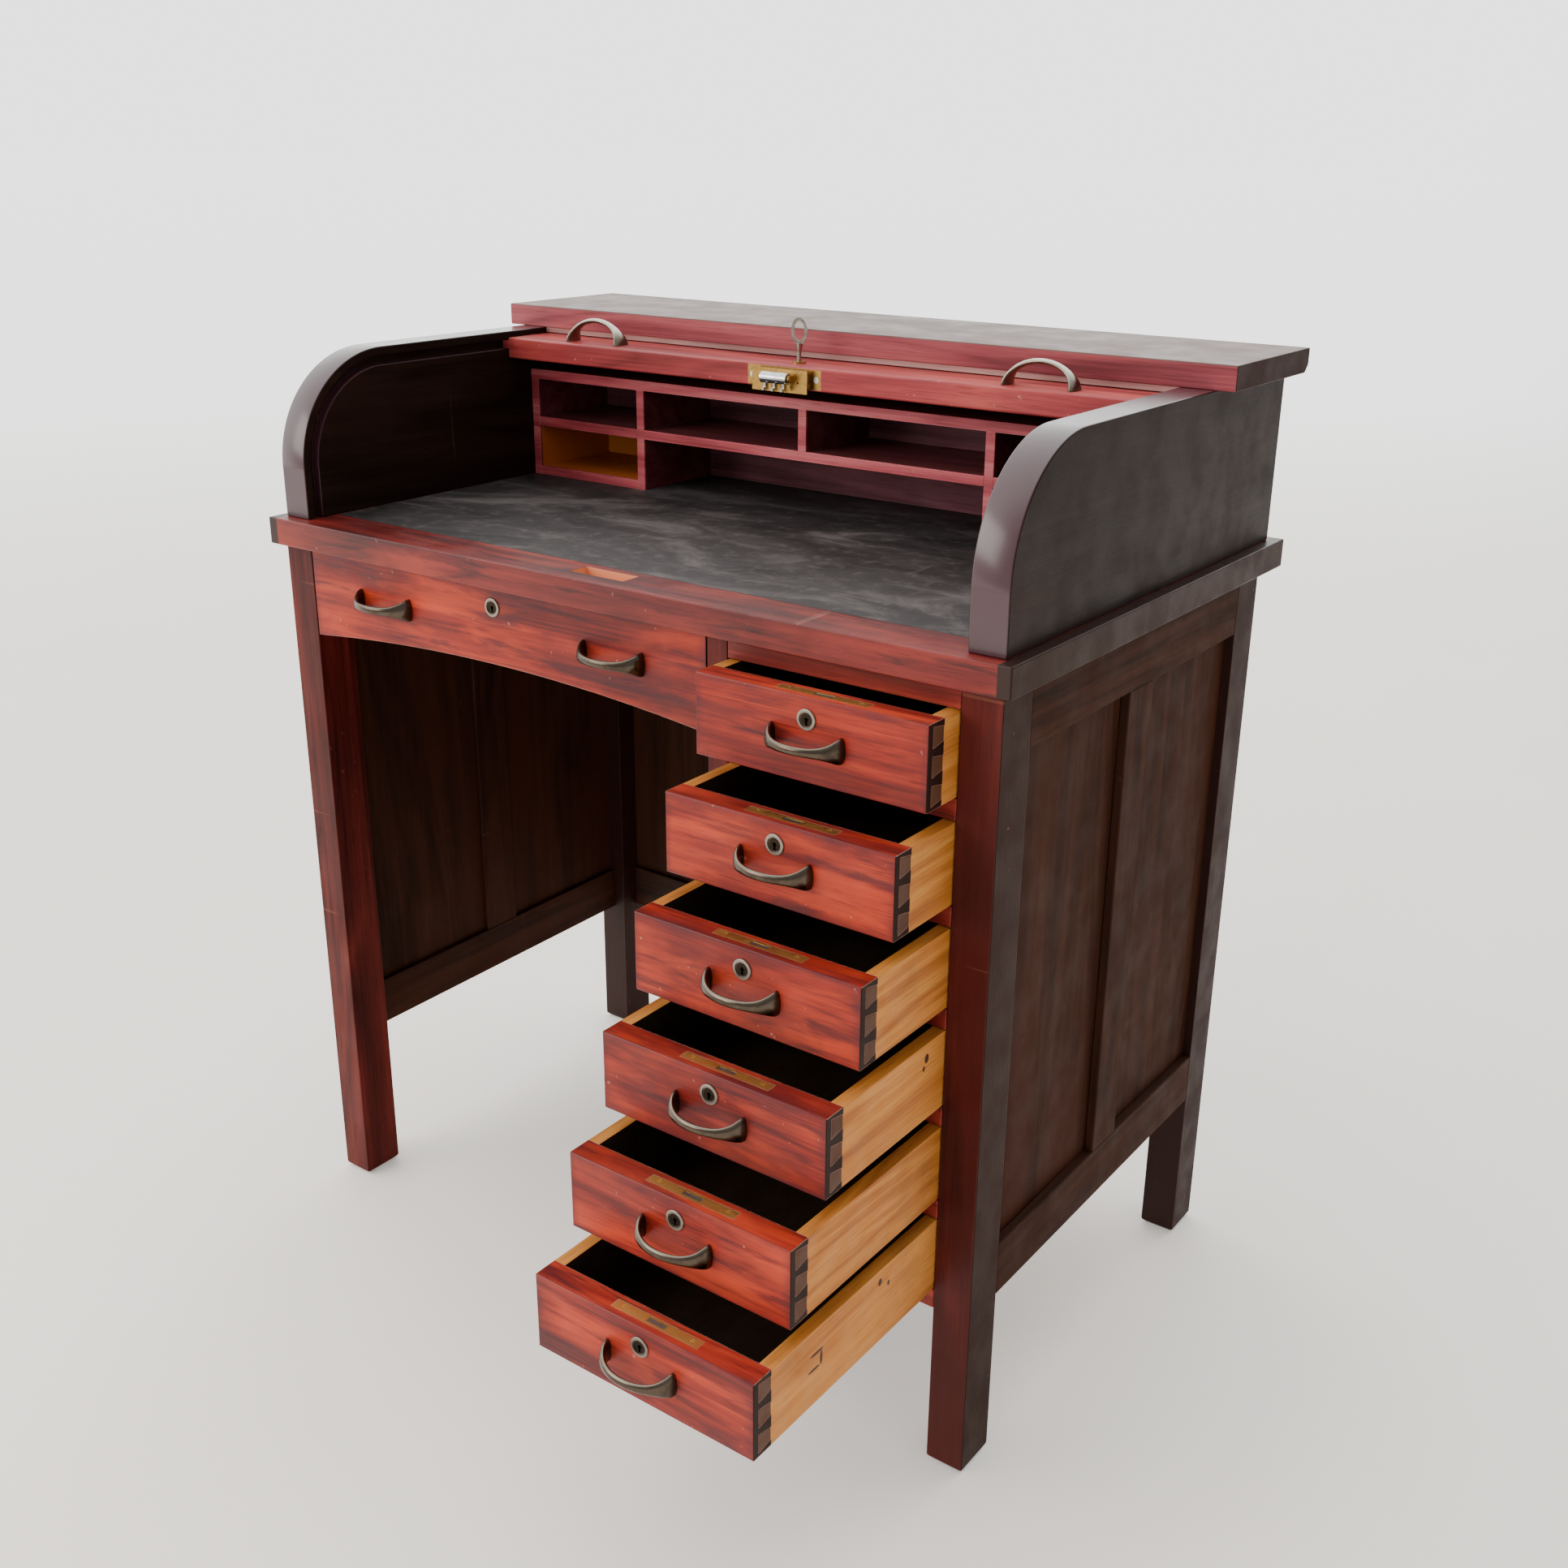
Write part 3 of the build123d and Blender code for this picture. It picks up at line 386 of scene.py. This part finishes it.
def leathercloth():
    """Charcoal writing surface with chalky smudges and fine scratches."""
    s = Shader("worn_leathercloth")
    smear = s.drawn_noise((6.0, 13.0, 5.0), (0.2, 0.4, 0.0), 7.0, 0.66, 1.2)
    fine = s.noise(s.place, 60.0, 6.0, 0.7)
    dust = s.step(s.noise(s.place, 420.0, 2.0, 0.6), 0.68, 0.76)
    colour = s.ramp(smear, [(0.36, tone("252222")), (0.52, tone("353030")), (0.68, tone("5a5352"))])
    colour = s.mix(s.times(s.step(fine, 0.5, 0.7), 0.3), colour, tone("6c6362"))
    colour = s.mix(s.times(dust, 0.4), colour, tone("8a8280"))
    lines = s.drawn_noise((260.0, 7.0, 1.0), (0.0, 0.1, 0.0), 2.0, 0.7, 0.2)
    cross = s.drawn_noise((9.0, 240.0, 1.0), (0.5, 0.1, 0.0), 2.0, 0.7, 0.2)
    scratch = s.math("MAXIMUM", s.step(lines, 0.71, 0.75), s.step(cross, 0.72, 0.76))
    colour = s.mix(s.times(scratch, 0.3), colour, tone("857c79"))
    pebble = s.node("TexVoronoi", {"Vector": s.place, "Scale": 1100.0}).outputs["Distance"]
    normal = s.bump(pebble, 0.18, 0.12 * MM)
    normal = s.bump(smear, 0.15, 0.8 * MM, normal)
    roughness = s.step(smear, 0.3, 0.7, 0.5, 0.68)
    return s.finish(colour, roughness, normal, 0.24)


def canvas():
    """Plain woven cloth behind the slats."""
    s = Shader("unbleached_canvas")
    threads = {"Vector": s.place, "Scale": 320.0, "Distortion": 0.6}
    warp, weft = (s.node("TexWave", threads, bands_direction=way).outputs[1] for way in ("X", "Y"))
    weave = s.times(warp, weft)
    stain = s.noise(s.place, 14.0, 5.0, 0.6)
    colour = s.mix(s.step(stain, 0.4, 0.7), tone("a08f70"), tone("6f5e45"))
    colour = s.mix(s.times(weave, 0.3), colour, tone("c6b698"))
    roughness = s.step(stain, 0.3, 0.7, 0.8, 0.95)
    normal = s.bump(weave, 0.5, 0.2 * MM)
    return s.finish(colour, roughness, normal, 0.2)


def dress(name, material):
    """Puts one material on every slot of a CAD node."""
    node = NODES[name]
    if not node.material_slots:
        node.data.materials.append(material)
    for held in node.material_slots:
        held.material = material


def rounded(name, width, segments=2):
    """Eases a CAD node's sharp arrises, as planing and wear do."""
    node = NODES[name]
    weld = node.modifiers.new("weld", "WELD")
    weld.merge_threshold = 0.01 * MM
    flat = node.modifiers.new("flat", "DECIMATE")
    flat.decimate_type = "DISSOLVE"
    flat.angle_limit = math.radians(0.5)
    ease = node.modifiers.new("ease", "BEVEL")
    ease.width = width
    ease.segments = segments
    ease.limit_method = "ANGLE"
    ease.angle_limit = math.radians(40)
    ease.harden_normals = True


def beyond(low, high, code):
    """Masks that give everything left of low and right of high one colour."""
    return [(lambda s: s.before(X, low), 1.0, code), (lambda s: s.after(X, high), 1.0, code)]


# ---------------------------------------------------------------- the desk
def dress_frame():
    # painted shade: the outer faces of the legs are made as dark as the shaded sides
    masks = beyond(-LEG_OUTSIDE, LEG_OUTSIDE, SIDE_SHADE)
    # painted shade on every face of the back legs
    masks.append((lambda s: s.after(Y, BACK_LEG_Y), 1.0, BACK_LEG_SHADE))
    legs = varnished("leg_varnish", LEG, Z, "a0644f", grime_share=0.35, patch="4a1712", rough=(0.36, 0.52),
                     coat=0.0, gloss=0.15, masks=masks)
    dull = dict(wear_and_highlight="6b4532", grime_share=0.2, rough=(0.5, 0.66), edge=0.35, coat=0.0, gloss=0.12)
    side = varnished("side_varnish", SHADE, Z, patch="3c1e14", **dull)
    side_rails = varnished("side_rail_varnish", SHADE, Y, patch="3c1e14", shift=(0.2, 0.4, 0.3),
                           uprights=MUNTIN_Z, **dull)
    back_rails = varnished("back_rail_varnish", SHADE, X, uprights=MUNTIN_Z, **dull)
    rails = varnished("rail_varnish", RAIL, X, "b87a66", grime_share=0.15, rough=(0.36, 0.52), coat=0.06, gloss=0.22)
    dress("legs", legs)
    dress("left_side_frame", side_rails)
    dress("right_side_frame", side_rails)
    dress("frame_panels", side)
    dress("back_frame", back_rails)
    dress("pedestal_inner_side", side)
    dress("drawer_rails", rails)
    dress("drawer_runners", raw_wood("runner_beech", HONEY, Y))
    for name in ("legs", "left_side_frame", "right_side_frame", "back_frame", "pedestal_inner_side", "drawer_rails"):
        rounded(name, 1.2 * MM)


def dress_top():
    low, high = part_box("desk_top")
    strike_low = (STRIKE_X[0], STRIKE_Y[0], high[Z] + STRIKE_Z[0])
    strike_high = (STRIKE_X[1], STRIKE_Y[1], high[Z] + STRIKE_Z[1])
    # painted shade: the ends of the desk top are made as dark as the shaded sides
    masks = beyond(low[X] + TOP_OVERHANG, high[X] - TOP_OVERHANG, SIDE_SHADE)
    masks.append((lambda s: s.inside(strike_low, strike_high), 1.0, STRIKE_WOOD))
    top = varnished("desk_top_varnish", TOP, X, "d99a86", grime="1e0d0e", rough=(0.32, 0.5), edge=0.9,
                    coat=0.1, gloss=0.25, ribbons=TOP_RIBBONS, masks=masks, figure=7.0)
    dress("desk_top", top)
    dress("writing_inset", leathercloth())
    rounded("desk_top", 0.6 * MM)


def dress_superstructure():
    # painted light: faces of the cheeks that do not look sideways, the curve, get a lighter red-brown
    lit_curve = (lambda s: s.step(s.sideways(), 0.9, 0.4), 0.85, CURVE_LIGHT)
    curve = varnished("cheek_varnish", CHEEK, Y, "6e4a40", grime_share=0.25, patch="281814", rough=(0.3, 0.46),
                      edge=0.45, coat=0.9, gloss=0.2, masks=[lit_curve])
    for name in ("left_cheek", "right_cheek"):
        dress(name, curve)
        rounded(name, 1.5 * MM, 3)
    low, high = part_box("top_board")
    # the upper face of the top board is given a grey-brown tone
    grey_upper_face = (lambda s: s.after(Z, high[Z] - 1.0 * MM), 0.85, GREY_UPPER_TONE)
    # painted shade: the end faces of the top board are made as dark as the shaded sides
    top = varnished("top_board_varnish", BOARD, X, "d0a89e", grime_share=0.1, rough=(0.38, 0.54), edge=0.6,
                    coat=0.1, gloss=0.2, masks=[grey_upper_face] + beyond(low[X] + SKIN, high[X] - SKIN, SIDE_SHADE),
                    shift=(0.0, 0.3, 0.0))
    dress("top_board", top)
    rounded("top_board", 1.0 * MM)
    dress("top_front_strip", varnished("strip_varnish", STRIP, X, "cfa79c", grime_share=0.2))
    dress("superstructure_back", varnished("back_board_varnish", SHADE, X, "7a5a46"))


def dress_pigeonholes():
    low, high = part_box("pigeonhole_case")

    # painted shade: 1 behind the front edges of the pigeonholes, where the inside is darkened
    def interior(s):
        return s.step(s.at(Y), low[Y] + 0.5 * MM, low[Y] + 3.0 * MM)

    def bright_bay(s):
        return s.inside((low[X], low[Y] + 3 * MM, low[Z]), (BAY_RIGHT, FAR, BAY_TOP))

    case = varnished("pigeonhole_varnish", PINK, X, "c98f86", grime_share=0.2, edge=0.6, rough=(0.4, 0.6), coat=0.1,
                     masks=[(interior, 0.8, BAY_SHADE), (bright_bay, 0.85, BRIGHT_BAY)])
    dress("pigeonhole_case", case)
    rounded("pigeonhole_case", 0.5 * MM)
    back = varnished("pigeonhole_back_board", PINK_BACK, X, "8b6a62", grime_share=0.25, rough=(0.5, 0.7),
                     coat=0.0, gloss=0.2, masks=[(bright_bay, 0.9, BRIGHT_BACK)])
    dress("pigeonhole_back", back)


def dress_curtain():
    rail = varnished("lead_rail_varnish", LEAD_RAIL, X, "eeb4a6", grime_share=0.15, patch="8a2c28",
                     rough=(0.36, 0.52), edge=0.85, coat=0.1, gloss=0.22)
    dress("lead_rail", rail)
    rounded("lead_rail", 0.4 * MM)
    slats = varnished("slat_varnish", SLAT, X, "b9806f", grime_share=0.4)
    dress("tambour_slats", slats)
    dress("stored_curtain", slats)
    dress("tambour_canvas", canvas())


def dress_drawer_front(name, low, high, shift):
    """Showy front with a dirty border, dark ends and painted shade, near black, on its inner face."""
    def border(s):
        return s.times(s.margin(low, high, (X, Z), 9 * MM), s.before(Y, low[Y] + 1.5 * MM))

    def ends(s):
        return s.math("MAXIMUM", s.before(X, low[X] + SKIN), s.after(X, high[X] - SKIN))

    # painted shade: the front's inner face, inside the drawer, is made near black
    def inner(s):
        return s.inside((low[X] + WALL, high[Y] - 0.5 * MM, -FAR), (high[X] - WALL, FAR, FAR))

    front = varnished(name + "_mahogany", MAHOGANY, X, "e6ab96", shift=shift, grime="34141c", grime_share=0.55,
                      rough=(0.34, 0.5), edge=0.85, coat=0.06, gloss=0.22, ribbons=RIBBONS,
                      masks=[(border, 0.6, FRONT_BORDER), (ends, 1.0, FRONT_END), (inner, 1.0, INTERIOR_SHADE)])
    dress(name + "_front", front)
    rounded(name + "_front", 0.5 * MM)


def dress_drawer_box(name, low, high, shift):
    """Honey sides, stained tails and painted shade, near black, inside, with the marks that two of the drawers carry.
    """
    # painted shade: everything between the drawer's sides is made near black
    def interior(s):
        reach = WALL - 0.2 * MM
        return s.inside((low[X] + reach, low[Y], -FAR), (high[X] - reach, FAR, FAR))

    def tails(s):
        return s.before(Y, high[Y] - 1.0 * MM)

    masks = [(interior, 0.96, INTERIOR_SHADE), (tails, 0.92, TAIL_STAIN)]
    for dy, dz, half_y, half_z in MARKS.get(name, ()):
        centre = (high[X], high[Y] + dy, low[Z] + dz)
        radii = (MARK_DEPTH, half_y, half_z)
        masks.append((lambda s, c=centre, r=radii: s.disc(c, r), 1.0, MARK))
    dress(name + "_box", raw_wood(name + "_side_wood", HONEY, Y, shift, masks))
    rounded(name + "_box", 0.4 * MM)


def dress_drawer_lock(name):
    """Brass plate on the top edge, nickel ring and dark barrel on the face, one node."""
    low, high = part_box(name + "_lock")
    centre = ((low[X] + high[X]) / 2 - 8 * MM, low[Y], high[Z] - 18.5 * MM)
    ring = (lambda s: s.before(Z, high[Z] - 3 * MM), 1.0, "8c8378")
    barrel = (lambda s: s.disc(centre, (7.2 * MM, 4 * MM, 7.2 * MM)), 1.0, "30261e")
    plate = metal(name + "_lock_metal", "dcae62", "97733c", 0.45, (0.3, 0.46), masks=[ring, barrel], brushed=X)
    dress(name + "_lock", plate)


def dress_drawers():
    bronze = metal("aged_bronze", "51473d", "28211c", 0.5, (0.2, 0.32), scale=60.0, wear_and_highlight="857a6c")
    steel = metal("plain_steel", "8f8c86", "57534c", 0.6, (0.3, 0.5))
    handles = {"drawer_%d" % (i + 1): "_handle" for i in range(6)}
    handles["wide_drawer"] = "_handles"
    for i, (name, handle) in enumerate(handles.items()):
        low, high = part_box(name + "_front")
        shift = (0.37 * i, 0.0, 0.21 * i)
        dress_drawer_front(name, low, high, shift)
        dress_drawer_box(name, low, high, shift)
        dress_drawer_lock(name)
        dress(name + handle, bronze)
        dress(name + "_lock_bolt", steel)


def dress_curtain_metal():
    low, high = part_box("tambour_lock")
    middle = (low[X] + high[X]) / 2

    def screws(s):
        spots = [(middle + side * LOCK_SCREW_X, LOCK_SCREW_Y, LOCK_SCREW_Z) for side in (-1, 1)]
        return s.math("MAXIMUM", *[s.disc(spot, (3.4 * MM, 9 * MM, 3.4 * MM)) for spot in spots])

    brass = metal("old_brass", "b88f4e", "6e5228", 0.6, (0.24, 0.42), masks=[(screws, 1.0, "d8d5cf")])
    dress("tambour_lock", brass)
    dress("lead_rail_handles", metal("rubbed_bronze_with_highlight", "7d7468", "4a4238", 0.5, (0.2, 0.34), scale=60.0, wear_and_highlight="d3cabb"))
    dress("tambour_hook_bolt", metal("bright_chrome", "c4c4c6", "6a6866", 0.4, (0.06, 0.2)))
    dress("tambour_key", metal("dull_nickel", "a39b8e", "5a5146", 0.6, (0.25, 0.42)))


# ---------------------------------------------------------------- floor, light and camera
def build_floor():
    mesh = bpy.data.meshes.new("studio_floor")
    corners = [(x * FLOOR_REACH, y * FLOOR_REACH, 0) for x, y in ((-1, -1), (1, -1), (1, 1), (-1, 1))]
    mesh.from_pydata(corners, [], [(0, 1, 2, 3)])
    floor = bpy.data.objects.new("studio_floor", mesh)
    bpy.context.scene.collection.objects.link(floor)
    s = Shader("pale_floor")
    colour = s.mix(s.step(s.noise(s.place, 3.0, 3.0), 0.3, 0.7), *[tone(code) for code in FLOOR_TONES])
    away = s.length(s.place)
    ahead = s.math("DIVIDE", s.dot(s.place, PALE_WALL), away)
    level = s.step(ahead, *WALL_EDGE, ROOM_LEVEL, WALL_LEVEL)
    far = s.step(away, *FLOOR_FADE)
    colour = s.mix(far, colour, (0.0, 0.0, 0.0, 1.0))
    near_glow = s.times(s.math("SUBTRACT", 1.0, far), FLOOR_GLOW)
    glow = s.math("ADD", near_glow, s.times(far, s.times(level, FAR_FLOOR_SHARE)))
    floor_paint = s.finish(colour, 0.75, None, Emission_Color=tone(STUDIO_WHITE), Emission_Strength=glow)
    mesh.materials.append(floor_paint)


def build_window():
    data = bpy.data.lights.new("window", "AREA")
    data.shape = "RECTANGLE"
    data.size, data.size_y = WINDOW_SIZE
    data.energy = WINDOW_POWER
    data.color = WINDOW_COLOUR
    lamp = bpy.data.objects.new("window", data)
    lamp.location = WINDOW_AT
    lamp.rotation_euler = (Vector(WINDOW_TARGET) - Vector(WINDOW_AT)).to_track_quat("-Z", "Y").to_euler()
    bpy.context.scene.collection.objects.link(lamp)


def build_studio():
    """Even pale surroundings, brighter towards one wall."""
    world = bpy.data.worlds.new("studio")
    bpy.context.scene.world = world
    world.use_nodes = True
    tree = world.node_tree
    back = tree.nodes["Background"]
    back.inputs[0].default_value = tone(STUDIO_WHITE)
    where = tree.nodes.new("ShaderNodeTexCoord")
    ahead = tree.nodes.new("ShaderNodeVectorMath")
    ahead.operation = "DOT_PRODUCT"
    ahead.inputs[1].default_value = PALE_WALL
    level = tree.nodes.new("ShaderNodeMapRange")
    level.interpolation_type = "SMOOTHSTEP"
    for socket, value in zip(list(level.inputs)[1:5], (*WALL_EDGE, ROOM_LEVEL, WALL_LEVEL)):
        socket.default_value = value
    tree.links.new(where.outputs["Generated"], ahead.inputs[0])
    tree.links.new(ahead.outputs["Value"], level.inputs[0])
    tree.links.new(level.outputs[0], back.inputs[1])


def build_camera():
    data = bpy.data.cameras.new("camera")
    data.sensor_width = SENSOR_WIDTH
    data.lens = FOCAL * data.sensor_width
    data.clip_start = NEAR_CLIP
    camera = bpy.data.objects.new("camera", data)
    turn = Matrix.Rotation(CAMERA_YAW, 4, "Z") @ Matrix.Rotation(math.pi / 2 + CAMERA_PITCH, 4, "X")
    turn = turn @ Matrix.Rotation(CAMERA_ROLL, 4, "Z")
    camera.matrix_world = Matrix.Translation(CAMERA_AT) @ turn
    bpy.context.scene.collection.objects.link(camera)
    bpy.context.scene.camera = camera


dress_frame()
dress_top()
dress_superstructure()
dress_pigeonholes()
dress_curtain()
dress_drawers()
dress_curtain_metal()
build_floor()
build_studio()
build_window()
build_camera()
